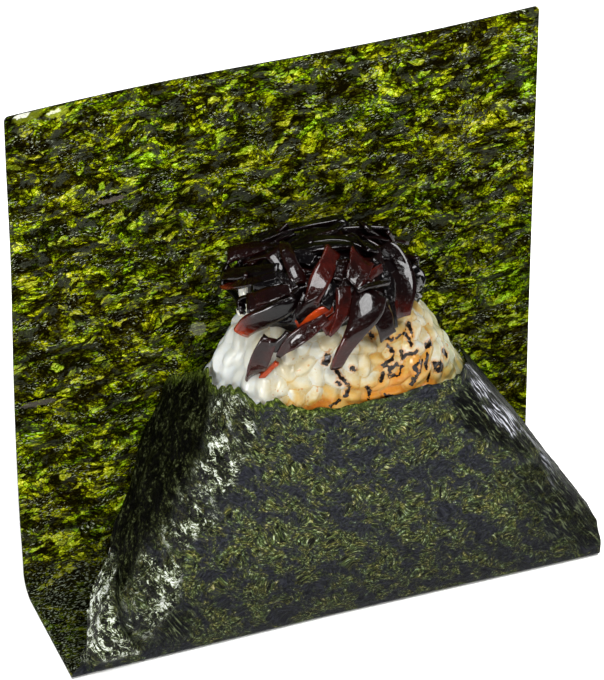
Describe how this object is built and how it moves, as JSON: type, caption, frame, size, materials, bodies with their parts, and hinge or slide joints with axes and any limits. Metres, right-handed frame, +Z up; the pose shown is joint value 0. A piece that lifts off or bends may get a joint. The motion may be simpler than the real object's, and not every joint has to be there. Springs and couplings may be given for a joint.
{
  "type": "seaweed-wrapped rice ball",
  "caption": "Triangular rice ball in a folded sheet of toasted seaweed, heaped with simmered kelp strips on top.",
  "frame": {"origin": "in the flat underside of the seaweed sheet, halfway between its front fold and its tall back panel, on the middle of the back panel's width", "axes": "+Z up, +X along the base of the rice ball to the right as seen from the front, +Y towards the tall back panel"},
  "size_m": [0.1074, 0.0353, 0.109],
  "materials": {
    "rice": "moist cooked rice, browned in patches",
    "seaweed": "dry toasted leaf, rough inside and smooth outside",
    "kelp": "wet soy glaze"
  },
  "bodies": {
    "root": {"rice_ball": "rice", "seaweed_sheet": "seaweed", "kelp_heap": "kelp"}
  },
  "joints": []
}
